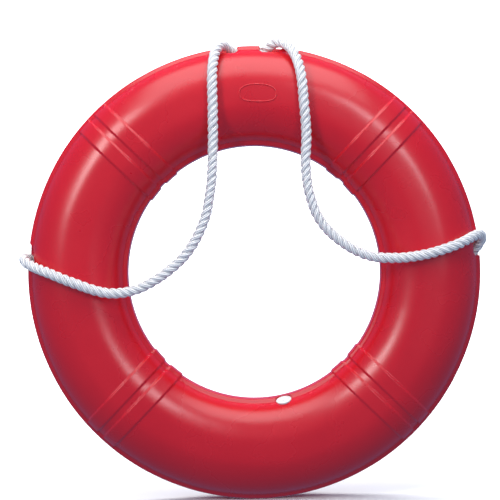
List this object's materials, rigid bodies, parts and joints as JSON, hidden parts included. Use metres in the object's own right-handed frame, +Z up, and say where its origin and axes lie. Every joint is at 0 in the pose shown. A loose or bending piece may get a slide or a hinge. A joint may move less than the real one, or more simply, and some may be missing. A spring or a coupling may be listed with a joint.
{
  "type": "ring lifebuoy",
  "caption": "Red ring lifebuoy: two moulded half shells over a foam core, raised band pairs, and a white grab rope threaded through tunnels in the rim.",
  "frame": {"origin": "centre of the ring's hole, on the shells' seam plane, where a bracket or arm holds the ring up", "axes": "+Y along the ring's axis towards the rear, -Y is the front, +Z up to the top rope tunnel, +X to the right seen from the front"},
  "size_m": [0.6292, 0.1369, 0.6201],
  "materials": {
    "shell": "semi-gloss moulded polyethylene, red all through",
    "foam": "closed-cell foam",
    "natural_plastic": "natural polyethylene",
    "rope": "three-strand white polypropylene rope",
    "twine": "waxed whipping twine"
  },
  "bodies": {
    "root": {"front_shell": "shell", "rear_shell": "shell", "foam_core": "foam", "rope_liner_right": "natural_plastic", "rope_liner_top": "natural_plastic", "rope_liner_left": "natural_plastic", "rope_liner_bottom": "natural_plastic", "filler_plug": "natural_plastic", "vent_plug": "natural_plastic", "grab_rope": "rope", "rope_whipping_1": "twine", "rope_whipping_2": "twine", "rope_seizing": "twine"}
  },
  "joints": []
}
